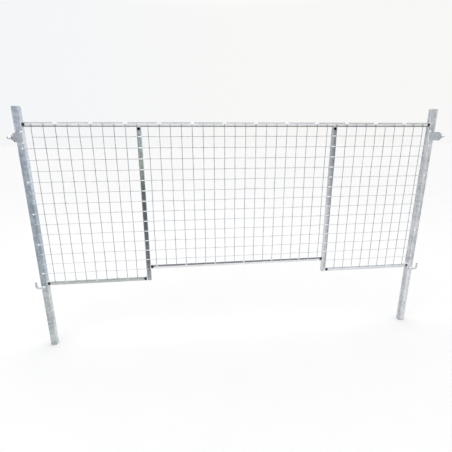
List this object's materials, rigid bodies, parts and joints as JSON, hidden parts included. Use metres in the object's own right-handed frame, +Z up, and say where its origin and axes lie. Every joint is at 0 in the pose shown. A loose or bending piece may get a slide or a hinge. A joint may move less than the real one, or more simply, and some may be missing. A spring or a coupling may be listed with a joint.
{
  "type": "crowd control barrier",
  "caption": "Galvanised crowd control barrier: a welded mesh panel with a stepped lower edge on long leg posts, with coupling ears, threaded studs and hooks at both ends.",
  "frame": {"origin": "under the middle of the span, level with the feet, on the centre plane of the leg posts", "axes": "+X along the panel, -Y the side with the mesh and the ears, +Z up"},
  "size_m": [2.0434, 0.1115, 1.186],
  "materials": {
    "post_zinc": "hot-dip galvanised, dull with soft spangle",
    "rail_zinc": "hot-dip galvanised, semi-bright",
    "wire_zinc": "hot-dip galvanised wire, semi-bright",
    "plate_zinc": "hot-dip galvanised, matt",
    "bolt_zinc": "bright zinc plated"
  },
  "bodies": {
    "panel": {"top_rail": "rail_zinc", "centre_bottom_rail": "rail_zinc", "centre_mesh": "wire_zinc", "left_post": "post_zinc", "left_mid_post": "rail_zinc", "left_bottom_rail": "rail_zinc", "left_mesh": "wire_zinc", "left_ear": "plate_zinc", "left_hook": "plate_zinc", "left_stud": "bolt_zinc", "right_post": "post_zinc", "right_mid_post": "rail_zinc", "right_bottom_rail": "rail_zinc", "right_mesh": "wire_zinc", "right_ear": "plate_zinc", "right_hook": "plate_zinc", "right_stud": "bolt_zinc"},
    "left_washer": {"left_washer": "bolt_zinc"},
    "left_nut": {"left_nut": "bolt_zinc"},
    "right_washer": {"right_washer": "bolt_zinc"},
    "right_nut": {"right_nut": "bolt_zinc"}
  },
  "joints": [
    {"name": "left_washer_slide", "type": "slide", "parent": "panel", "child": "left_washer", "axis": [-1, 0, 0], "range_m": [-0.0072, 0.0085]},
    {"name": "left_nut_turn", "type": "hinge", "parent": "left_washer", "child": "left_nut", "pos_m": [-0.9878, -0.0765, 1.056], "axis": [-1, 0, 0], "range_deg": [-1440, 1710]},
    {"name": "right_washer_slide", "type": "slide", "parent": "panel", "child": "right_washer", "axis": [1, 0, 0], "range_m": [-0.0072, 0.0085]},
    {"name": "right_nut_turn", "type": "hinge", "parent": "right_washer", "child": "right_nut", "pos_m": [0.9878, -0.0765, 1.056], "axis": [1, 0, 0], "range_deg": [-1440, 1710]}
  ],
  "couplings": [
    {"joint": "left_washer_slide", "follows": "left_nut_turn", "m_per_rad": 0.00027852},
    {"joint": "right_washer_slide", "follows": "right_nut_turn", "m_per_rad": 0.00027852}
  ]
}
